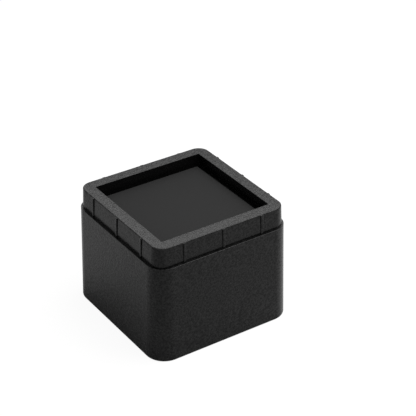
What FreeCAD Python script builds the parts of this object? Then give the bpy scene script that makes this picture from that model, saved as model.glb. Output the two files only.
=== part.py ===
import FreeCAD, Part
import math
import os
import Sketcher

# Square stackable bed riser, a hollow plastic moulding with a soft pad in its recess.
# Frame: +Z up, origin at the middle of the footprint on the floor, millimetres.
# The lower body tapers upwards to a shoulder. A smaller collar stands on the shoulder and
# carries a flat rim round a square recess, where the leg of the bed stands on the pad.
# Underneath, the skirt is a socket that takes the collar of another riser, and crossed webs
# above the socket carry the deck under the recess.

DRIVING_SIZES = {
    # recess for the leg, and the pad that lies in it
    "recess_width": 81.2,
    "recess_depth": 10.3,
    "recess_draft": 1.0,
    "pad_margin": 3.3,
    "pad_thickness": 3.0,
    "pad_corner": 1.0,
    # collar round the recess: each width is the one before it and a band on both sides
    "rim_band": 8.2,
    "collar_flare": 0.2,
    "collar_height": 14.0,
    "collar_corner": 8.6,
    "rim_round": 0.4,
    # level shoulder at the foot of the collar
    "ledge_width": 2.3,
    "ledge_round": 0.4,
    # lower body, which flares from the shoulder down to the floor
    "shoulder_height": 69.5,
    "corner_growth": 3.4,
    "body_flare": 1.7,
    "foot_round": 1.2,
    # upright ribs round the collar, which grip the socket of the riser above
    "rib_width": 2.2,
    "rib_tip_width": 1.5,
    "rib_reach": 1.0,
    "rib_pitch": 29.4,
    "rib_lead_in": 0.6,
    # play between a collar and the socket that takes it, round it and above it
    "socket_play": 0.4,
    "web_play": 0.3,
    # walls and webs of the hollow moulding
    "shoulder_thickness": 2.6,
    "collar_wall": 2.8,
    "recess_wall": 2.5,
    "deck_thickness": 3.2,
    "rim_thickness": 2.8,
    "web_thickness": 2.2,
    "web_pitch": 33.0,
}

# Ribs stand at the middle of each collar side and one pitch to either side of it.
RIB_PLACES = (-1, 0, 1)
SIDES = 4
# Two webs run each way, half a pitch to either side of the middle.
WEB_PLACES = (-0.5, 0.5)

# Widths and heights that several features share, worked out from the sizes in the sheet.
RIM_WIDTH = "(Sizes.recess_width + 2 * Sizes.rim_band)"
COLLAR_WIDTH = f"({RIM_WIDTH} + 2 * Sizes.collar_flare)"
SHOULDER_WIDTH = f"({COLLAR_WIDTH} + 2 * Sizes.ledge_width)"
BASE_WIDTH = f"({SHOULDER_WIDTH} + 2 * Sizes.body_flare)"
SHOULDER_CORNER = "(Sizes.collar_corner + Sizes.corner_growth)"
BASE_CORNER = f"({SHOULDER_CORNER} + Sizes.body_flare)"
SOCKET_WIDTH = f"({COLLAR_WIDTH} + 2 * Sizes.rib_reach + 2 * Sizes.socket_play)"
SKIRT_WALL = "(Sizes.ledge_width + Sizes.body_flare - Sizes.rib_reach - Sizes.socket_play)"
RIM_TOP = "(Sizes.shoulder_height + Sizes.collar_height)"
DECK_TOP = f"({RIM_TOP} - Sizes.recess_depth)"
DECK_UNDERSIDE = f"({DECK_TOP} - Sizes.deck_thickness)"
SKIRT_CEILING = "(Sizes.shoulder_height - Sizes.shoulder_thickness)"
# Ribs and webs that end in the shoulder reach half of its thickness deep.
MIDDLE_OF_SHOULDER = "(Sizes.shoulder_height - Sizes.shoulder_thickness / 2)"
SOCKET_DEPTH = "(Sizes.collar_height + Sizes.web_play)"
BODY_DRAFT = "atan(Sizes.body_flare / Sizes.shoulder_height)"
COLLAR_DRAFT = "atan(Sizes.collar_flare / Sizes.collar_height)"
# Places on a solid that differ by less than this are one place.
SAME_PLACE = 0.01
# Rough sizes in which outlines are drawn before their dimensions put them to size.
ROUGH_HALF = 30.0
ROUGH_CORNER = 6.0
ROUGH_REACH = 5.0

doc = FreeCAD.newDocument("bed_riser")


def make_sheet():
    """Write the driving sizes into a sheet, one row each, with the name as alias."""
    sheet = doc.addObject("Spreadsheet::Sheet", "Sizes")
    for row, (name, size) in enumerate(DRIVING_SIZES.items(), start=1):
        sheet.set(f"A{row}", name)
        sheet.set(f"B{row}", str(size))
        sheet.setAlias(f"B{row}", name)
    doc.recompute()


def origin_feature(body, role):
    """Plane or axis of the body's own origin."""
    for feature in body.Origin.OriginFeatures:
        if feature.Role == role:
            return feature
    raise ValueError(f"{body.Label} has no {role}")


def plane_sketch(body, name, role, offset=None):
    """Sketch on an origin plane of the body, moved along the plane's normal by an expression."""
    sketch = body.newObject("Sketcher::SketchObject", name)
    sketch.AttachmentSupport = [(origin_feature(body, role), "")]
    sketch.MapMode = "FlatFace"
    if offset:
        sketch.setExpression("AttachmentOffset.Base.z", offset)
    return sketch


def bind(sketch, constraint, name, expression):
    """Add a sketch dimension, name it and bind it to an expression of the sheet's sizes."""
    index = sketch.addConstraint(constraint)
    sketch.renameConstraint(index, name)
    sketch.setExpression(f"Constraints.{name}", expression)


def rounded_square(sketch, name, width, corner):
    """Closed square with round corners, centred on the sketch's origin."""
    flat = ROUGH_HALF - ROUGH_CORNER
    quarter = math.pi / 2
    up = FreeCAD.Vector(0, 0, 1)
    turns = ((1, -1), (1, 1), (-1, 1), (-1, -1))
    lines = []
    arcs = []
    for step, (side_x, side_y) in enumerate(turns):
        centre = FreeCAD.Vector(side_x * flat, side_y * flat, 0)
        start = quarter * (step - 1)
        circle = Part.Circle(centre, up, ROUGH_CORNER)
        arcs.append(sketch.addGeometry(Part.ArcOfCircle(circle, start, start + quarter), False))
    for step in range(4):
        here = sketch.getPoint(arcs[step], 2)
        there = sketch.getPoint(arcs[(step + 1) % 4], 1)
        lines.append(sketch.addGeometry(Part.LineSegment(here, there), False))
    for step in range(4):
        sketch.addConstraint(Sketcher.Constraint("Tangent", arcs[step], 2, lines[step], 1))
        sketch.addConstraint(Sketcher.Constraint("Tangent", lines[step], 2, arcs[(step + 1) % 4], 1))
        upright = "Vertical" if step % 2 == 0 else "Horizontal"
        sketch.addConstraint(Sketcher.Constraint(upright, lines[step]))
    for step in range(1, 4):
        sketch.addConstraint(Sketcher.Constraint("Equal", arcs[0], arcs[step]))
    sketch.addConstraint(Sketcher.Constraint("Symmetric", arcs[0], 3, arcs[2], 3, -1, 1))
    across = Sketcher.Constraint("DistanceX", lines[2], 1, lines[0], 1, 2 * ROUGH_HALF)
    along = Sketcher.Constraint("DistanceY", lines[3], 1, lines[1], 1, 2 * ROUGH_HALF)
    bind(sketch, across, f"{name}_across", width)
    bind(sketch, along, f"{name}_along", width)
    bind(sketch, Sketcher.Constraint("Radius", arcs[0], ROUGH_CORNER), f"{name}_corner", corner)


def polygon(sketch, name, corners):
    """Closed polygon whose corners are (side of the Y axis, distance, side of the X axis, distance).

    The distances are expressions. No two corners start at the same place, and each one's two
    distances from the origin then put it where it belongs.
    """
    start = [FreeCAD.Vector(side_x * (ROUGH_REACH + step), side_y * (ROUGH_REACH + step * step), 0)
             for step, (side_x, _, side_y, _) in enumerate(corners)]
    count = len(corners)
    lines = [sketch.addGeometry(Part.LineSegment(start[step], start[(step + 1) % count]), False)
             for step in range(count)]
    for step in range(count):
        sketch.addConstraint(Sketcher.Constraint("Coincident", lines[step - 1], 2, lines[step], 1))
    for step, (side_x, reach_x, side_y, reach_y) in enumerate(corners):
        places = (("X", side_x, reach_x, start[step].x), ("Y", side_y, reach_y, start[step].y))
        for axis, side, reach, far in places:
            ends = (-1, 1, lines[step], 1) if side > 0 else (lines[step], 1, -1, 1)
            distance = Sketcher.Constraint(f"Distance{axis}", *ends, abs(far))
            bind(sketch, distance, f"{name}_{step}_{axis}", reach)


def square(sketch, name, width):
    """Closed square with sharp corners, centred on the sketch's origin."""
    half = f"{width} / 2"
    polygon(sketch, name, [(sx, half, sy, half) for sx, sy in ((-1, -1), (1, -1), (1, 1), (-1, 1))])


def settle(feature):
    """Work the model out and stop if the feature failed."""
    doc.recompute()
    if "Invalid" in feature.State or feature.Shape.isNull():
        raise ValueError(f"{feature.Label} failed: {feature.getStatusString()}")
    return feature


def pad(body, name, sketch, length, taper=None, side="One side"):
    """Raise the sketch from its plane, to one side or half to each."""
    feature = body.newObject("PartDesign::Pad", name)
    feature.Profile = sketch
    feature.SideType = side
    feature.setExpression("Length", length)
    if taper:
        feature.setExpression("TaperAngle", taper)
    return settle(feature)


def pocket(body, name, sketch, length, upwards, taper=None):
    """Cut the sketch out of the body, up or down, and make sure that it cut something."""
    before = body.Shape.Volume
    feature = body.newObject("PartDesign::Pocket", name)
    feature.Profile = sketch
    feature.Reversed = upwards
    feature.setExpression("Length", length)
    if taper:
        feature.setExpression("TaperAngle", taper)
    settle(feature)
    if body.Shape.Volume >= before:
        raise ValueError(f"{name} cut nothing")


def level_edges(shape, height):
    """Edges of a solid that lie level at a height, each with its name and its bounding box."""
    found = []
    for number, edge in enumerate(shape.Edges, start=1):
        box = edge.BoundBox
        if abs(box.ZMin - height) < SAME_PLACE and abs(box.ZMax - height) < SAME_PLACE:
            found.append((f"Edge{number}", box))
    return found


def reaching(edges, distance):
    """Names of the edges that reach further than a distance from the middle, along X or Y."""
    return [name for name, box in edges
            if max(box.XMax, -box.XMin, box.YMax, -box.YMin) > distance + SAME_PLACE]


def wholly_beyond(edges, distance):
    """Names of the edges that lie along one side, all of them further out than a distance."""
    return [name for name, box in edges
            if max(box.XMin, -box.XMax, box.YMin, -box.YMax) > distance + SAME_PLACE]


def dress(body, kind, name, edges, size, expression):
    """Round or bevel the named edges of the body's last feature."""
    if not edges:
        raise ValueError(f"{name} found no edges")
    last = body.Tip
    feature = body.newObject(f"PartDesign::{kind}", name)
    feature.Base = (last, edges)
    feature.setExpression(size, expression)
    settle(feature)


def turned_copies(body, name, originals, count, angle):
    """Copies of the features, turned about the upright axis."""
    pattern = body.newObject("PartDesign::PolarPattern", name)
    pattern.Originals = originals
    pattern.Axis = (origin_feature(body, "Z_Axis"), [""])
    pattern.Angle = angle
    pattern.Occurrences = count
    body.Tip = pattern
    settle(pattern)


def make_outside(body):
    """Tapered lower body, and the collar that stands on its shoulder."""
    footprint = plane_sketch(body, "footprint", "XY_Plane")
    rounded_square(footprint, "footprint", BASE_WIDTH, BASE_CORNER)
    pad(body, "lower_body", footprint, "Sizes.shoulder_height", f"-{BODY_DRAFT}")
    outline = plane_sketch(body, "collar_outline", "XY_Plane", "Sizes.shoulder_height")
    rounded_square(outline, "collar", COLLAR_WIDTH, "Sizes.collar_corner")
    pad(body, "collar", outline, "Sizes.collar_height", f"-{COLLAR_DRAFT}")


def make_edges(body):
    """Rounded outer edges at the foot, the rim and the shoulder."""
    outline = doc.getObject("collar_outline")
    shoulder = outline.Placement.Base.z
    collar_reach = outline.Shape.BoundBox.XMax
    foot = level_edges(body.Shape, 0)
    dress(body, "Fillet", "foot_edge", reaching(foot, 0), "Radius", "Sizes.foot_round")
    rim = level_edges(body.Shape, body.Shape.BoundBox.ZMax)
    dress(body, "Fillet", "rim_edge", reaching(rim, 0), "Radius", "Sizes.rim_round")
    ledge = level_edges(body.Shape, shoulder)
    dress(body, "Fillet", "ledge_edge", reaching(ledge, collar_reach), "Radius", "Sizes.ledge_round")


def make_ribs(body):
    """Upright ribs round the collar, from the shoulder to the rim.

    They narrow towards the tip, which stays within the socket of the riser above, and their
    top is bevelled so that the socket finds its way over them.
    """
    root = f"({COLLAR_WIDTH} / 2 - Sizes.collar_wall / 2)"
    tip = f"({COLLAR_WIDTH} / 2 + Sizes.rib_reach)"
    ribs = []
    for place in RIB_PLACES:
        name = f"rib_{place + 2}"
        sketch = plane_sketch(body, f"{name}_plan", "XY_Plane", MIDDLE_OF_SHOULDER)
        corners = []
        for side, reach, width in ((-1, root, "rib_width"), (-1, tip, "rib_tip_width"),
                                   (1, tip, "rib_tip_width"), (1, root, "rib_width")):
            along = f"{place * side} * Sizes.rib_pitch + Sizes.{width} / 2"
            corners.append((1, reach, side, along))
        polygon(sketch, name, corners)
        ribs.append(pad(body, name, sketch, f"{RIM_TOP} - {MIDDLE_OF_SHOULDER}"))
    turned_copies(body, "collar_ribs", ribs, SIDES, 360)
    top = level_edges(body.Shape, body.Shape.BoundBox.ZMax)
    collar_reach = doc.getObject("collar_outline").Shape.BoundBox.XMax
    tips = wholly_beyond(top, collar_reach)
    if len(tips) != SIDES * len(RIB_PLACES):
        raise ValueError(f"{len(tips)} rib tips found")
    dress(body, "Chamfer", "rib_lead_in", tips, "Size", "Sizes.rib_lead_in")


def make_recess(body):
    """Square recess with sharp corners for the leg, drafted to leave the mould."""
    mouth = plane_sketch(body, "recess_mouth", "XY_Plane", RIM_TOP)
    square(mouth, "mouth", "Sizes.recess_width")
    pocket(body, "recess", mouth, "Sizes.recess_depth", upwards=False, taper="-Sizes.recess_draft")


def make_hollow(body):
    """Hollow underside: the skirt, the collar wall above it and the slot under the rim."""
    skirt = plane_sketch(body, "skirt_inside", "XY_Plane")
    rounded_square(skirt, "skirt", SOCKET_WIDTH, f"{BASE_CORNER} - {SKIRT_WALL}")
    pocket(body, "skirt_hollow", skirt, SKIRT_CEILING, upwards=True, taper=f"-{BODY_DRAFT}")
    inside = (f"{COLLAR_WIDTH} - 2 * Sizes.collar_wall", "Sizes.collar_corner - Sizes.collar_wall")
    collar = plane_sketch(body, "collar_inside", "XY_Plane", SKIRT_CEILING)
    rounded_square(collar, "collar", *inside)
    pocket(body, "collar_hollow", collar, f"{DECK_UNDERSIDE} - {SKIRT_CEILING}", upwards=True)
    slot = plane_sketch(body, "rim_slot", "XY_Plane", DECK_UNDERSIDE)
    rounded_square(slot, "outer", *inside)
    square(slot, "inner", "(Sizes.recess_width + 2 * Sizes.recess_wall)")
    slot_depth = f"{RIM_TOP} - Sizes.rim_thickness - {DECK_UNDERSIDE}"
    pocket(body, "rim_slot_hollow", slot, slot_depth, upwards=True)


def make_webs(body):
    """Crossed webs from wall to wall under the deck, ending above the socket.

    Their ends follow the taper of the skirt, half a wall deep, and step in above the shoulder.
    """
    low = f"({BASE_WIDTH} / 2 - {SKIRT_WALL} / 2 - {SOCKET_DEPTH} * tan({BODY_DRAFT}))"
    high = f"({BASE_WIDTH} / 2 - {SKIRT_WALL} / 2 - {MIDDLE_OF_SHOULDER} * tan({BODY_DRAFT}))"
    neck = f"({COLLAR_WIDTH} / 2 - Sizes.collar_wall / 2)"
    top = f"({DECK_UNDERSIDE} + Sizes.deck_thickness / 2)"
    right = [(low, SOCKET_DEPTH), (high, MIDDLE_OF_SHOULDER), (neck, MIDDLE_OF_SHOULDER), (neck, top)]
    corners = [(1, reach, 1, height) for reach, height in right]
    corners += [(-1, reach, 1, height) for reach, height in reversed(right)]
    webs = []
    for number, place in enumerate(WEB_PLACES, start=1):
        name = f"web_{number}"
        sketch = plane_sketch(body, f"{name}_side", "XZ_Plane", f"{place} * Sizes.web_pitch")
        polygon(sketch, name, corners)
        webs.append(pad(body, name, sketch, "Sizes.web_thickness", side="Symmetric"))
    turned_copies(body, "crossed_webs", webs, 2, 90)


def make_riser():
    """Hollow moulding, all of it one piece."""
    riser = doc.addObject("PartDesign::Body", "riser_body")
    riser.Label = "riser_body"
    make_outside(riser)
    make_edges(riser)
    make_ribs(riser)
    make_recess(riser)
    make_hollow(riser)
    make_webs(riser)
    return riser


def make_pad():
    """Soft square of sheet that lies on the floor of the recess, clear of its walls."""
    sheet = doc.addObject("PartDesign::Body", "anti_slip_pad")
    sheet.Label = "anti_slip_pad"
    outline = plane_sketch(sheet, "pad_outline", "XY_Plane")
    rounded_square(outline, "pad", "Sizes.recess_width - 2 * Sizes.pad_margin", "Sizes.pad_corner")
    pad(sheet, "pad_sheet", outline, "Sizes.pad_thickness")
    sheet.setExpression("Placement.Base.z", DECK_TOP)
    doc.recompute()
    return sheet


def check_all():
    """Stop before anything is written if an object failed or a solid is not sound."""
    for thing in doc.Objects:
        if "Invalid" in thing.State or "Error" in thing.State:
            raise ValueError(f"{thing.Label} failed: {thing.State}")
        shape = getattr(thing, "Shape", None)
        if thing.TypeId == "PartDesign::Body" and (shape.isNull() or not shape.isValid()):
            raise ValueError(f"{thing.Label} has no sound shape")


make_sheet()
sub_parts = [make_riser(), make_pad()]
check_all()
os.makedirs("parts", exist_ok=True)
for sub_part in sub_parts:
    sub_part.Shape.exportStep(f"parts/{sub_part.Label}.step")
    print(sub_part.Label, len(sub_part.Shape.Solids), round(sub_part.Shape.Volume), "mm3")
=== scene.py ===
import math

import bmesh
import bpy
from bpy.props import FloatProperty, FloatVectorProperty, PointerProperty
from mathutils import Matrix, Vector


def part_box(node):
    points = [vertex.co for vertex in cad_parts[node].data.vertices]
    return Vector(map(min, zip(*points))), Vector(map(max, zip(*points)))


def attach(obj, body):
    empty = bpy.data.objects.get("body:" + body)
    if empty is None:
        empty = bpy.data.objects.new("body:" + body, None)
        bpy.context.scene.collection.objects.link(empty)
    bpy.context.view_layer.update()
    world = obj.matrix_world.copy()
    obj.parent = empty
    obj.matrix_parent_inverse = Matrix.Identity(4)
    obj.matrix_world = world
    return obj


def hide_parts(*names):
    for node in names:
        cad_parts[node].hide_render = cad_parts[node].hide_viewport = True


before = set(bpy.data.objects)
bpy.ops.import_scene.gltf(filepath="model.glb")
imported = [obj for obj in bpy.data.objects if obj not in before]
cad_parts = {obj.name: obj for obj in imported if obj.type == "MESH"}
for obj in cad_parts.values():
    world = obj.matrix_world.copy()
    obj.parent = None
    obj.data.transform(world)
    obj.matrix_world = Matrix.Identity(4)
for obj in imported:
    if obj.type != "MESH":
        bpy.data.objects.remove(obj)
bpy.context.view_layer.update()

# Square stackable bed riser: a hollow black moulding, with a soft pad in the recess on top.
# Everything is in metres in the frame of the solids: +Z up, the floor at zero, and the riser
# centred on the origin.

bl_info = {
    "name": "Bed Riser",
    "version": (1, 0, 0),
    "blender": (4, 5, 0),
    "location": "View3D > Sidebar > Bed Riser",
    "description": "Builds a square stackable bed riser with its soft pad, and a stage for it",
    "category": "Object",
}

MM = 0.001
# Share of the white lift that mirrored rays see on the floor.
GLOSSY_LIFT = 0.1
# How bright the paper under the lamps must be for the picture to show it white.
WHITE_PAPER = 0.4

# Steps in the round of one corner, and in the rounds of the edges.
CORNER_STEPS = 14
EDGE_STEPS = 3
FOOT_STEPS = 5
# Depth of a rib next to half its width.
RIB_FLATNESS = 0.5
# Height at which a new ring is bridged, above the whole riser.
BRIDGE_HEIGHT = 200 * MM
# Places closer together than this are one place.
SAME_PLACE = 2e-6

# Corner radius of the recess, nearly sharp.
RECESS_CORNER = 0.35 * MM
# How deep a rib is rooted in the collar's wall, without the collar's lean.
RIB_EMBED = 0.6 * MM
# Steps in the round of a rib, and the length above which its edges are upright ones.
RIB_STEPS = 6
RIB_EDGE = 5 * MM

# Size of the moulding's grain as drawn, of the slow change under it, and of the pad's specks.
GRAIN_SIZE = 1.3 * MM
FLOW_SIZE = 22 * MM
SPECK_SIZE = 0.9 * MM
SPECK_HEIGHT = 0.01 * MM
# Values between which nearly all of a noise lies, and those over which the shine changes.
NOISE_RANGE = {"From Min": 0.3, "From Max": 0.7}
SHINE_RANGE = {"From Min": 0.35, "From Max": 0.65}
# How far the slow change moves the roughness each way.
FLOW_SPREAD = 0.03
WHITE = (1, 1, 1, 1)

# Place and size of each lamp: azimuth and elevation in degrees, distance, width and height.
OVERHEAD_PLACE = (121, 65, 0.68, 0.6, 0.6)
BACKLIGHT_PLACE = (38, 41.3, 1.31, 1.4, 0.2)
FLOOR_SIZE = 6

# Direction to the camera in degrees, its distance, and the point that it looks at.
CAMERA_AZIMUTH = -33.97
CAMERA_ELEVATION = 31.02
CAMERA_DISTANCE = 0.9935
CAMERA_TARGET = Vector((44.99, 35.48, 41.13)) * MM
# Width of the sensor in millimetres, and the focal length as a multiple of it.
SENSOR_WIDTH = 36
FOCAL_RATIO = 1423.05 / 416
CLIP_RANGE = (0.05, 20)


# Sizes and looks that a user would change

def millimetres(name, size, description):
    """Length property whose default is given in millimetres."""
    return FloatProperty(name=name, description=description, default=size * MM, min=0.0,
                         precision=5, unit="LENGTH")


def colour(name, code, description):
    """Colour property whose default is an sRGB hex code."""
    return FloatVectorProperty(name=name, description=description, subtype="COLOR", size=4,
                               default=linear(code), min=0.0, max=1.0)


def linear(code):
    """sRGB hex code as a linear colour with alpha."""
    shown = [int(code[place:place + 2], 16) / 255 for place in (1, 3, 5)]
    return tuple(c / 12.92 if c <= 0.04045 else ((c + 0.055) / 1.055) ** 2.4
                 for c in shown) + (1.0,)


class RiserSizes(bpy.types.PropertyGroup):
    recess_width: millimetres("Recess width", 81.2, "Width of the recess at the rim")
    recess_depth: millimetres("Recess depth", 10.3, "Depth of the recess under the rim")
    recess_draft: millimetres("Recess draft", 0.18, "How far each recess wall leans in at its foot")
    rim_band: millimetres("Rim band", 8.2, "Width of the flat rim round the recess")
    rim_round: millimetres("Rim round", 0.7, "Radius of the rim's outer edge")
    mouth_round: millimetres("Mouth round", 0.2, "Radius of the rim's inner edge")
    collar_flare: millimetres("Collar flare", 0.6, "How far each collar side leans out at its foot")
    collar_height: millimetres("Collar height", 14.0, "Height of the collar above the shoulder")
    collar_corner: millimetres("Collar corner", 8.6, "Corner radius of the collar")
    ledge_width: millimetres("Ledge width", 1.9, "Width of the shoulder round the collar")
    ledge_round: millimetres("Ledge round", 0.25, "Radius of the shoulder's outer edge")
    shoulder_height: millimetres("Shoulder height", 69.5, "Height of the shoulder above the floor")
    corner_growth: millimetres("Corner growth", 3.4, "How much rounder the shoulder is than the collar")
    body_flare: millimetres("Body flare", 1.7, "How far each side leans out at the floor")
    foot_round: millimetres("Foot round", 1.2, "Radius of the outer edge at the floor")
    rib_width: millimetres("Rib width", 2.0, "Width of a rib at its root")
    rib_reach: millimetres("Rib reach", 0.65, "How far a rib stands out of the collar")
    rib_pitch: millimetres("Rib pitch", 29.4, "Distance from rib to rib")
    rib_round: millimetres("Rib round", 0.93, "Radius of a rib's upright edges before it is flattened")
    rib_lead_in: millimetres("Rib lead-in", 0.3, "Bevel at the top of a rib")
    rib_top: millimetres("Rib top", 0.4, "How far the top of a rib lies under the rim")
    skirt_wall: millimetres("Skirt wall", 2.6, "Thickness of the wall at the floor")
    shoulder_thickness: millimetres("Shoulder thickness", 2.6, "Thickness of the shoulder")
    collar_wall: millimetres("Collar wall", 2.8, "Thickness of the collar's wall")
    recess_wall: millimetres("Recess wall", 2.5, "Thickness of the wall round the recess")
    deck_thickness: millimetres("Deck thickness", 3.2, "Thickness of the deck under the recess")
    rim_thickness: millimetres("Rim thickness", 2.8, "Thickness of the rim over the slot")
    web_thickness: millimetres("Web thickness", 2.2, "Thickness of the crossed webs")
    web_pitch: millimetres("Web pitch", 33.0, "Distance between the two webs that run each way")
    web_play: millimetres("Web play", 0.3, "Room between the webs and a collar in the socket")
    pad_width: millimetres("Pad width", 74.6, "Width of the soft pad")
    pad_thickness: millimetres("Pad thickness", 3.0, "Thickness of the soft pad")
    pad_corner: millimetres("Pad corner", 1.0, "Corner radius of the soft pad")
    pad_round: millimetres("Pad round", 0.35, "Radius of the pad's cut edges")


class RiserLooks(bpy.types.PropertyGroup):
    moulding: colour("Moulding", "#0C0C0C", "Colour of the black polypropylene")
    pad: colour("Pad", "#0E0E0E", "Colour of the rubber pad")
    floor: colour("Floor", "#EFEFEF", "Colour of the floor")
    moulding_roughness: FloatProperty(name="Moulding roughness", default=0.24, min=0.0, max=1.0,
                                      description="Mean roughness of the moulding")
    moulding_shine: FloatProperty(name="Moulding shine", default=0.22, min=0.0, max=1.0,
                                  description="Mean specular level of the moulding")
    grain_height: FloatProperty(name="Grain height", default=0.12, min=0.0, max=1.0,
                                description="Height of the moulding's grain, in millimetres")
    grain_spread: FloatProperty(name="Grain spread", default=0.08, min=0.0, max=0.3,
                                description="How far the roughness changes from grain to grain")
    grain_shine: FloatProperty(name="Grain shine", default=0.3, min=0.0, max=1.0,
                               description="Share by which the shine changes from grain to grain")


class RiserStage(bpy.types.PropertyGroup):
    overhead: FloatProperty(name="Overhead lamp", default=4.9, min=0.0, unit="POWER",
                            description="Power of the softbox over the riser")
    backlight: FloatProperty(name="Backlight", default=2.84, min=0.0, unit="POWER",
                             description="Power of the long narrow softbox behind the riser")
    room: FloatProperty(name="Room", default=0.05, min=0.0,
                        description="Brightness of the room all round, as it lights the riser")
    shadow_lift: FloatProperty(name="Shadow lift", default=0.94, min=0.0, max=1.0,
                               description="Share of the floor's shadow that the picture leaves out")


# Materials

def add_node(tree, kind, inputs=None, links=None, **settings):
    """Add a node, set its settings and input values, and link sockets into it."""
    node = tree.nodes.new(kind)
    for name, value in settings.items():
        setattr(node, name, value)
    for name, value in (inputs or {}).items():
        node.inputs[name].default_value = value
    for name, socket in (links or {}).items():
        tree.links.new(socket, node.inputs[name])
    return node


def new_material(name):
    """Material with an empty node tree and its output node."""
    material = bpy.data.materials.new(name)
    material.use_nodes = True
    material.node_tree.nodes.clear()
    return material, material.node_tree, add_node(material.node_tree, "ShaderNodeOutputMaterial")


def grained_polypropylene(looks):
    """Black polypropylene from a spark-eroded mould, whose fine grain scatters the light.

    A real grain of this kind is a few tenths of a millimetre across, finer than the picture
    can show. It is drawn coarser here, so that the faces look lightly mottled.
    """
    material, tree, output = new_material("black_polypropylene_spark_eroded")
    place = add_node(tree, "ShaderNodeTexCoord").outputs["Object"]
    grain = add_node(tree, "ShaderNodeTexNoise", {"Scale": 1 / GRAIN_SIZE, "Detail": 1.5},
                     {"Vector": place})
    flow = add_node(tree, "ShaderNodeTexNoise", {"Scale": 1 / FLOW_SIZE, "Detail": 2.0},
                    {"Vector": place})
    spread = looks.grain_spread
    speckle = add_node(tree, "ShaderNodeMapRange",
                       {**NOISE_RANGE, "To Min": -spread, "To Max": spread},
                       {"Value": grain.outputs["Fac"]})
    mean = looks.moulding_roughness
    even = add_node(tree, "ShaderNodeMapRange",
                    {**NOISE_RANGE, "To Min": mean - FLOW_SPREAD, "To Max": mean + FLOW_SPREAD},
                    {"Value": flow.outputs["Fac"]})
    roughness = add_node(tree, "ShaderNodeMath", {},
                         {0: even.outputs["Result"], 1: speckle.outputs["Result"]},
                         operation="ADD")
    bump = add_node(tree, "ShaderNodeBump", {"Strength": 1.0, "Distance": looks.grain_height * MM},
                    {"Height": grain.outputs["Fac"]})
    # Two shaders of the same plastic: the grain's hollows shine less than its tops.
    hollows, tops = (
        add_node(tree, "ShaderNodeBsdfPrincipled",
                 {"Base Color": looks.moulding, "IOR": 1.49,
                  "Specular IOR Level": looks.moulding_shine * share},
                 {"Roughness": roughness.outputs["Value"], "Normal": bump.outputs["Normal"]})
        for share in (1 - looks.grain_shine, 1 + looks.grain_shine))
    share_of_tops = add_node(tree, "ShaderNodeMapRange", SHINE_RANGE,
                             {"Value": grain.outputs["Fac"]})
    shader = add_node(tree, "ShaderNodeMixShader", {},
                      {0: share_of_tops.outputs["Result"], 1: hollows.outputs["BSDF"],
                       2: tops.outputs["BSDF"]})
    tree.links.new(shader.outputs["Shader"], output.inputs["Surface"])
    return material


def pad_rubber(looks):
    """Black sheet rubber, calendered to a dull even face and cut square."""
    material, tree, output = new_material("black_sheet_rubber_calendered")
    place = add_node(tree, "ShaderNodeTexCoord").outputs["Object"]
    specks = add_node(tree, "ShaderNodeTexNoise", {"Scale": 1 / SPECK_SIZE, "Detail": 2.0},
                      {"Vector": place})
    bump = add_node(tree, "ShaderNodeBump", {"Strength": 1.0, "Distance": SPECK_HEIGHT},
                    {"Height": specks.outputs["Fac"]})
    shader = add_node(tree, "ShaderNodeBsdfPrincipled",
                      {"Base Color": looks.pad, "IOR": 1.52, "Roughness": 0.9,
                       "Specular IOR Level": 0.33},
                      {"Normal": bump.outputs["Normal"]})
    tree.links.new(shader.outputs["BSDF"], output.inputs["Surface"])
    return material


def white_floor(looks, stage):
    """Matt white paper. The picture leaves out most of the shadow on it, as for a catalogue."""
    material, tree, output = new_material("white_paper_matt")
    light_path = add_node(tree, "ShaderNodeLightPath").outputs
    seen = add_node(tree, "ShaderNodeMath", {},
                    {0: light_path["Is Camera Ray"], 1: light_path["Is Transmission Ray"]},
                    operation="ADD")
    mirrored = add_node(tree, "ShaderNodeMath", {1: GLOSSY_LIFT}, {0: light_path["Is Glossy Ray"]},
                        operation="MULTIPLY")
    share = add_node(tree, "ShaderNodeMath", {}, {0: seen.outputs[0], 1: mirrored.outputs[0]},
                     operation="ADD", use_clamp=True)
    paper = add_node(tree, "ShaderNodeBsdfDiffuse", {"Color": looks.floor})
    lift = add_node(tree, "ShaderNodeEmission", {"Color": WHITE, "Strength": stage.shadow_lift})
    share_left = (1 - stage.shadow_lift) / WHITE_PAPER
    shaded = tuple(channel * share_left for channel in looks.floor[:3]) + (1.0,)
    thin = add_node(tree, "ShaderNodeBsdfDiffuse", {"Color": shaded})
    lifted = add_node(tree, "ShaderNodeAddShader", {}, {0: lift.outputs[0], 1: thin.outputs[0]})
    both = add_node(tree, "ShaderNodeMixShader", {}, {0: share.outputs[0], 1: paper.outputs[0],
                                                      2: lifted.outputs[0]})
    tree.links.new(both.outputs["Shader"], output.inputs["Surface"])
    return material


# Modelling steps

def start_object(name, add_primitive, **where):
    """Add a primitive as a new object under a name and go into edit mode on it."""
    bpy.ops.object.select_all(action="DESELECT")
    add_primitive(location=(0, 0, 0), **where)
    piece = bpy.context.object
    piece.name = name
    piece.data.name = name
    bpy.ops.object.mode_set(mode="EDIT")
    bpy.ops.mesh.select_mode(type="VERT")
    return piece


def select_vertices(piece, wanted):
    """Select the vertices whose place is wanted, and the edges and faces between them."""
    bpy.ops.mesh.select_all(action="DESELECT")
    mesh = bmesh.from_edit_mesh(piece.data)
    count = 0
    for vertex in mesh.verts:
        if wanted(vertex.co):
            vertex.select = True
            count += 1
    mesh.select_flush_mode()
    bmesh.update_edit_mesh(piece.data)
    if not count:
        raise RuntimeError(f"{piece.name}: nothing selected")


def off_outline(spot, ring):
    """Distance of a place from a ring's rounded square, seen from above."""
    width, corner, _ = ring
    over_x = abs(spot.x) - (width / 2 - corner)
    over_y = abs(spot.y) - (width / 2 - corner)
    outside = math.hypot(max(over_x, 0), max(over_y, 0))
    return abs(outside + min(max(over_x, over_y), 0) - corner)


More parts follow.
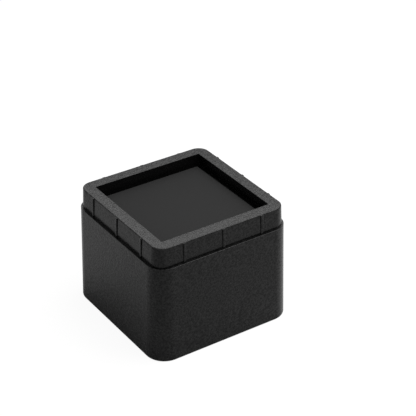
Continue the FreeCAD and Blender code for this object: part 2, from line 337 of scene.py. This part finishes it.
def on_ring(spot, ring):
    """Whether a place lies on a ring."""
    return abs(spot.z - ring[2]) < SAME_PLACE and off_outline(spot, ring) < SAME_PLACE


def select_rings(piece, *rings):
    """Select the vertices that lie on any of the rings."""
    select_vertices(piece, lambda spot: any(on_ring(spot, ring) for ring in rings))


def add_ring(ring):
    """Level loop of edges with round corners, from a square whose corners are rounded."""
    width, corner, height = ring
    bpy.ops.mesh.primitive_plane_add(size=width, location=(0, 0, height))
    bpy.ops.mesh.bevel(offset=corner, segments=CORNER_STEPS, affect="VERTICES", clamp_overlap=False)
    bpy.ops.mesh.delete(type="ONLY_FACE")


def loft(piece, rings):
    """Skin through a row of rings, each bridged to the one before it.

    A new ring starts well above the others, where the bridge can't twist, and then goes down
    to its height.
    """
    for before, (width, corner, height) in zip(rings, rings[1:]):
        raised = (width, corner, BRIDGE_HEIGHT)
        add_ring(raised)
        select_rings(piece, before, raised)
        bpy.ops.mesh.bridge_edge_loops()
        select_rings(piece, raised)
        bpy.ops.transform.translate(value=(0, 0, height - BRIDGE_HEIGHT))


def round_ring(piece, ring, radius, steps=EDGE_STEPS):
    """Round the edge that runs along a ring."""
    select_rings(piece, ring)
    bpy.ops.mesh.bevel(offset=radius, segments=steps, affect="EDGES")


def unite(piece, other, name):
    """Fuse another object into the piece and take that object away."""
    bpy.ops.object.select_all(action="DESELECT")
    bpy.context.view_layer.objects.active = piece
    piece.select_set(True)
    bpy.ops.object.modifier_add(type="BOOLEAN")
    fuse = piece.modifiers[-1]
    fuse.name = name
    fuse.operation = "UNION"
    fuse.solver = "EXACT"
    fuse.object = other
    bpy.ops.object.modifier_apply(modifier=name)
    bpy.data.meshes.remove(other.data)


def finish_piece(piece, material, sharp):
    """Merge doubles, point the faces outwards, shade the rounds and give the material."""
    bpy.ops.object.select_all(action="DESELECT")
    bpy.context.view_layer.objects.active = piece
    piece.select_set(True)
    bpy.ops.object.mode_set(mode="EDIT")
    bpy.ops.mesh.select_all(action="SELECT")
    bpy.ops.mesh.remove_doubles(threshold=SAME_PLACE)
    bpy.ops.mesh.normals_make_consistent(inside=False)
    bpy.ops.object.mode_set(mode="OBJECT")
    bpy.ops.object.shade_smooth_by_angle(angle=math.radians(sharp))
    bpy.ops.object.modifier_add(type="WEIGHTED_NORMAL")
    piece.modifiers[-1].keep_sharp = True
    bpy.ops.object.modifier_apply(modifier=piece.modifiers[-1].name)
    piece.data.materials.clear()
    piece.data.materials.append(material)


# Rings of the moulding, from the sizes

def moulding_rings(sizes):
    """Rings of the whole skin, from the floor of the recess round the foot to under the deck.

    Each ring is its width, its corner radius and its height.
    """
    top = sizes.shoulder_height + sizes.collar_height
    rim = sizes.recess_width + 2 * sizes.rim_band
    collar = rim + 2 * sizes.collar_flare
    shoulder = collar + 2 * sizes.ledge_width
    shoulder_corner = sizes.collar_corner + sizes.corner_growth
    base = shoulder + 2 * sizes.body_flare
    base_corner = shoulder_corner + sizes.body_flare
    ceiling = sizes.shoulder_height - sizes.shoulder_thickness
    deck = top - sizes.recess_depth
    deck_under = deck - sizes.deck_thickness
    lean = sizes.body_flare * ceiling / sizes.shoulder_height
    inside = (base - 2 * sizes.skirt_wall, base_corner - sizes.skirt_wall)
    neck = (collar - 2 * sizes.collar_wall, sizes.collar_corner - sizes.collar_wall)
    core = (sizes.recess_width + 2 * sizes.recess_wall, RECESS_CORNER + sizes.recess_wall)
    return {
        "recess floor": (sizes.recess_width - 2 * sizes.recess_draft, RECESS_CORNER, deck),
        "mouth": (sizes.recess_width, RECESS_CORNER, top),
        "rim": (rim, sizes.collar_corner - sizes.collar_flare, top),
        "collar foot": (collar, sizes.collar_corner, sizes.shoulder_height),
        "shoulder edge": (shoulder, shoulder_corner, sizes.shoulder_height),
        "foot outside": (base, base_corner, 0.0),
        "foot inside": (*inside, 0.0),
        "skirt ceiling": (inside[0] - 2 * lean, inside[1] - lean, ceiling),
        "neck": (*neck, ceiling),
        "slot outside": (*neck, top - sizes.rim_thickness),
        "slot inside": (*core, top - sizes.rim_thickness),
        "deck underside": (*core, deck_under),
    }


def make_ribs(sizes, rings):
    """Twelve upright ribs, modelled once and copied along each side and round the collar.

    The rib is modelled half round and then flattened against the collar.
    """
    collar, _, shoulder = rings["collar foot"]
    top = rings["rim"][2] - sizes.rib_top
    embed = RIB_EMBED + sizes.collar_flare
    foot = shoulder - embed
    root = collar / 2
    deep, sunk = sizes.rib_reach / RIB_FLATNESS, embed / RIB_FLATNESS
    ribs = start_object("ribs", bpy.ops.mesh.primitive_cube_add, size=1)
    bpy.ops.transform.resize(value=(deep + sunk, sizes.rib_width, top - foot))
    bpy.ops.transform.translate(value=(root + (deep - sunk) / 2, 0, (top + foot) / 2))
    tip = root + deep
    select_vertices(ribs, lambda spot: spot.x > tip - SAME_PLACE and spot.z > top - SAME_PLACE)
    bpy.ops.transform.translate(value=(-sizes.collar_flare / RIB_FLATNESS, 0, 0))
    bpy.ops.mesh.bevel(offset=sizes.rib_lead_in, segments=1, affect="EDGES")
    bpy.ops.mesh.select_all(action="DESELECT")
    bpy.ops.mesh.select_mode(type="EDGE")
    mesh = bmesh.from_edit_mesh(ribs.data)
    for edge in mesh.edges:
        first, second = edge.verts
        upright = (abs(first.co.y - second.co.y) < SAME_PLACE
                   and abs(first.co.z - second.co.z) > RIB_EDGE)
        edge.select = upright and min(first.co.x, second.co.x) > root - embed
    bmesh.update_edit_mesh(ribs.data)
    bpy.ops.mesh.bevel(offset=sizes.rib_round, segments=RIB_STEPS, affect="EDGES")
    bpy.ops.mesh.select_all(action="SELECT")
    bpy.ops.transform.resize(value=(RIB_FLATNESS, 1, 1), center_override=(root, 0, 0))
    bpy.ops.mesh.select_mode(type="VERT")
    bpy.ops.mesh.select_all(action="SELECT")
    for shift in (sizes.rib_pitch, -2 * sizes.rib_pitch):
        bpy.ops.mesh.duplicate()
        bpy.ops.transform.translate(value=(0, shift, 0))
    bpy.ops.mesh.select_all(action="SELECT")
    for _ in range(3):
        bpy.ops.mesh.duplicate()
        bpy.ops.transform.rotate(value=math.pi / 2, orient_axis="Z", center_override=(0, 0, 0))
    bpy.ops.object.mode_set(mode="OBJECT")
    return ribs


def make_webs(sizes, rings, turned):
    """Two webs side by side, which run from wall to wall under the deck."""
    base, _, _ = rings["foot outside"]
    neck, _, ceiling = rings["neck"]
    _, _, deck_under = rings["deck underside"]
    slope = sizes.body_flare / sizes.shoulder_height
    bottom = sizes.collar_height + sizes.web_play
    step = ceiling + sizes.shoulder_thickness / 2
    top = deck_under + sizes.deck_thickness / 2
    middle_of_wall = base / 2 - sizes.skirt_wall / 2
    low = 2 * (middle_of_wall - bottom * slope)
    high = 2 * (middle_of_wall - step * slope)
    upper = neck + sizes.collar_wall
    webs = start_object("webs", bpy.ops.mesh.primitive_cube_add, size=1)
    bpy.ops.transform.resize(value=(low, sizes.web_thickness, step - bottom))
    bpy.ops.transform.translate(value=(0, sizes.web_pitch / 2, (step + bottom) / 2))
    select_vertices(webs, lambda spot: spot.z > step - SAME_PLACE)
    bpy.ops.transform.resize(value=(high / low, 1, 1))
    for side in (-1, 1):
        bpy.ops.mesh.select_all(action="SELECT")
        bpy.ops.mesh.bisect(plane_co=(side * upper / 2, 0, 0), plane_no=(1, 0, 0))
    select_vertices(webs, lambda spot: (spot.z > step - SAME_PLACE
                                        and abs(spot.x) < upper / 2 + SAME_PLACE))
    bpy.ops.mesh.extrude_region_move(TRANSFORM_OT_translate={"value": (0, 0, top - step)})
    bpy.ops.mesh.select_all(action="SELECT")
    bpy.ops.mesh.duplicate()
    bpy.ops.transform.translate(value=(0, -sizes.web_pitch, 0))
    if turned:
        bpy.ops.mesh.select_all(action="SELECT")
        bpy.ops.transform.rotate(value=math.pi / 2, orient_axis="Z", center_override=(0, 0, 0))
    bpy.ops.object.mode_set(mode="OBJECT")
    return webs


# Operators

class MakeMoulding(bpy.types.Operator):
    """Model the hollow moulding of the riser"""

    bl_idname = "riser.make_moulding"
    bl_label = "Moulding"

    def execute(self, context):
        sizes = context.scene.riser_sizes
        rings = moulding_rings(sizes)
        row = list(rings.values())
        moulding = start_object("riser_moulding", bpy.ops.mesh.primitive_plane_add,
                                size=row[0][0])
        bpy.ops.transform.translate(value=(0, 0, row[0][2]))
        bpy.ops.mesh.bevel(offset=row[0][1], segments=CORNER_STEPS, affect="VERTICES",
                           clamp_overlap=False)
        loft(moulding, row)
        select_rings(moulding, row[-1])
        bpy.ops.mesh.edge_face_add()
        bpy.ops.mesh.select_all(action="SELECT")
        bpy.ops.mesh.normals_make_consistent(inside=False)
        round_ring(moulding, rings["mouth"], sizes.mouth_round)
        round_ring(moulding, rings["rim"], sizes.rim_round)
        round_ring(moulding, rings["shoulder edge"], sizes.ledge_round)
        round_ring(moulding, rings["foot outside"], sizes.foot_round, FOOT_STEPS)
        round_ring(moulding, rings["foot inside"], sizes.ledge_round)
        bpy.ops.object.mode_set(mode="OBJECT")
        unite(moulding, make_ribs(sizes, rings), "ribs")
        lattice = make_webs(sizes, rings, turned=False)
        unite(lattice, make_webs(sizes, rings, turned=True), "crossing webs")
        unite(moulding, lattice, "webs")
        finish_piece(moulding, grained_polypropylene(context.scene.riser_looks), sharp=30)
        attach(moulding, "root")
        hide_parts("riser_body")
        return {"FINISHED"}


class MakePad(bpy.types.Operator):
    """Model the soft pad that lies in the recess"""

    bl_idname = "riser.make_pad"
    bl_label = "Soft pad"

    def execute(self, context):
        sizes = context.scene.riser_sizes
        low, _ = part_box("anti_slip_pad")
        bottom = (sizes.pad_width, sizes.pad_corner, low.z)
        top = (sizes.pad_width, sizes.pad_corner, low.z + sizes.pad_thickness)
        pad = start_object("soft_pad", bpy.ops.mesh.primitive_plane_add, size=sizes.pad_width)
        bpy.ops.transform.translate(value=(0, 0, low.z))
        bpy.ops.mesh.bevel(offset=sizes.pad_corner, segments=CORNER_STEPS, affect="VERTICES",
                           clamp_overlap=False)
        bpy.ops.mesh.select_all(action="SELECT")
        bpy.ops.mesh.extrude_region_move(
            TRANSFORM_OT_translate={"value": (0, 0, sizes.pad_thickness)})
        bpy.ops.mesh.select_all(action="SELECT")
        bpy.ops.mesh.normals_make_consistent(inside=False)
        round_ring(pad, top, sizes.pad_round)
        round_ring(pad, bottom, sizes.pad_round)
        bpy.ops.object.mode_set(mode="OBJECT")
        finish_piece(pad, pad_rubber(context.scene.riser_looks), sharp=40)
        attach(pad, "root")
        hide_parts("anti_slip_pad")
        return {"FINISHED"}


class MakeStage(bpy.types.Operator):
    """Set the floor, the surroundings, the lamps and the camera"""

    bl_idname = "riser.make_stage"
    bl_label = "Stage"

    def execute(self, context):
        scene = context.scene
        scene.view_settings.view_transform = "Standard"
        bpy.ops.object.select_all(action="DESELECT")
        bpy.ops.mesh.primitive_plane_add(size=FLOOR_SIZE, location=(0, 0, 0))
        floor = context.object
        floor.name = "floor"
        floor.data.materials.append(white_floor(scene.riser_looks, scene.riser_stage))
        self.light(scene)
        self.set_camera(scene)
        return {"FINISHED"}

    def light(self, scene):
        """White surroundings that light softly, a softbox above and a long narrow one behind."""
        stage = scene.riser_stage
        world = bpy.data.worlds.new("studio")
        scene.world = world
        world.use_nodes = True
        tree = world.node_tree
        tree.nodes.clear()
        output = add_node(tree, "ShaderNodeOutputWorld")
        rays = add_node(tree, "ShaderNodeLightPath").outputs
        camera_or_glossy = add_node(tree, "ShaderNodeMath", {},
                                    {0: rays["Is Camera Ray"], 1: rays["Is Glossy Ray"]},
                                    operation="ADD")
        seen = add_node(tree, "ShaderNodeMath", {},
                        {0: camera_or_glossy.outputs[0], 1: rays["Is Transmission Ray"]},
                        operation="ADD", use_clamp=True)
        room = add_node(tree, "ShaderNodeBackground", {"Color": WHITE, "Strength": stage.room})
        backdrop = add_node(tree, "ShaderNodeBackground", {"Color": WHITE, "Strength": 1.0})
        both = add_node(tree, "ShaderNodeMixShader", {},
                        {0: seen.outputs[0], 1: room.outputs[0], 2: backdrop.outputs[0]})
        tree.links.new(both.outputs[0], output.inputs["Surface"])
        self.add_softbox("overhead_softbox", stage.overhead, *OVERHEAD_PLACE)
        self.add_softbox("backlight_softbox", stage.backlight, *BACKLIGHT_PLACE)

    def add_softbox(self, name, power, azimuth, elevation, distance, width, height):
        """Rectangular lamp that faces the riser, from +Y at azimuth zero and turning to +X."""
        around, up = math.radians(azimuth), math.radians(elevation)
        towards = Vector((math.sin(around) * math.cos(up),
                          math.cos(around) * math.cos(up), math.sin(up)))
        bpy.ops.object.light_add(type="AREA", location=towards * distance)
        lamp = bpy.context.object
        lamp.name = name
        lamp.rotation_euler = towards.to_track_quat("Z", "Y").to_euler()
        lamp.data.shape = "RECTANGLE"
        lamp.data.size, lamp.data.size_y = width, height
        lamp.data.energy = power

    def set_camera(self, scene):
        """Camera at the viewing angle of the picture, a long lens about a metre away."""
        azimuth, elevation = math.radians(CAMERA_AZIMUTH), math.radians(CAMERA_ELEVATION)
        back = Vector((math.sin(azimuth) * math.cos(elevation),
                       -math.cos(azimuth) * math.cos(elevation), math.sin(elevation)))
        bpy.ops.object.camera_add(location=CAMERA_TARGET + back * CAMERA_DISTANCE)
        camera = bpy.context.object
        camera.name = "camera"
        camera.rotation_euler = (-back).to_track_quat("-Z", "Y").to_euler()
        camera.data.sensor_width = SENSOR_WIDTH
        camera.data.lens = SENSOR_WIDTH * FOCAL_RATIO
        camera.data.clip_start, camera.data.clip_end = CLIP_RANGE
        scene.camera = camera


class RiserPanel(bpy.types.Panel):
    """Sidebar panel of the riser"""

    bl_idname = "VIEW3D_PT_riser"
    bl_label = "Bed Riser"
    bl_space_type = "VIEW_3D"
    bl_region_type = "UI"
    bl_category = "Bed Riser"

    def draw(self, context):
        for operator in OPERATORS:
            self.layout.operator(operator.bl_idname)
        scene = context.scene
        for group in (scene.riser_sizes, scene.riser_looks, scene.riser_stage):
            column = self.layout.column()
            for name in group.bl_rna.properties.keys():
                if name not in ("rna_type", "name"):
                    column.prop(group, name)


OPERATORS = (MakeMoulding, MakePad, MakeStage)
GROUPS = {"riser_sizes": RiserSizes, "riser_looks": RiserLooks, "riser_stage": RiserStage}
CLASSES = (*GROUPS.values(), *OPERATORS, RiserPanel)


def register():
    for each in CLASSES:
        bpy.utils.register_class(each)
    for name, group in GROUPS.items():
        setattr(bpy.types.Scene, name, PointerProperty(type=group))


def unregister():
    for name in GROUPS:
        delattr(bpy.types.Scene, name)
    for each in reversed(CLASSES):
        bpy.utils.unregister_class(each)


def main():
    register()
    bpy.ops.riser.make_moulding()
    bpy.ops.riser.make_pad()
    bpy.ops.riser.make_stage()


if __name__ == "__main__":
    main()
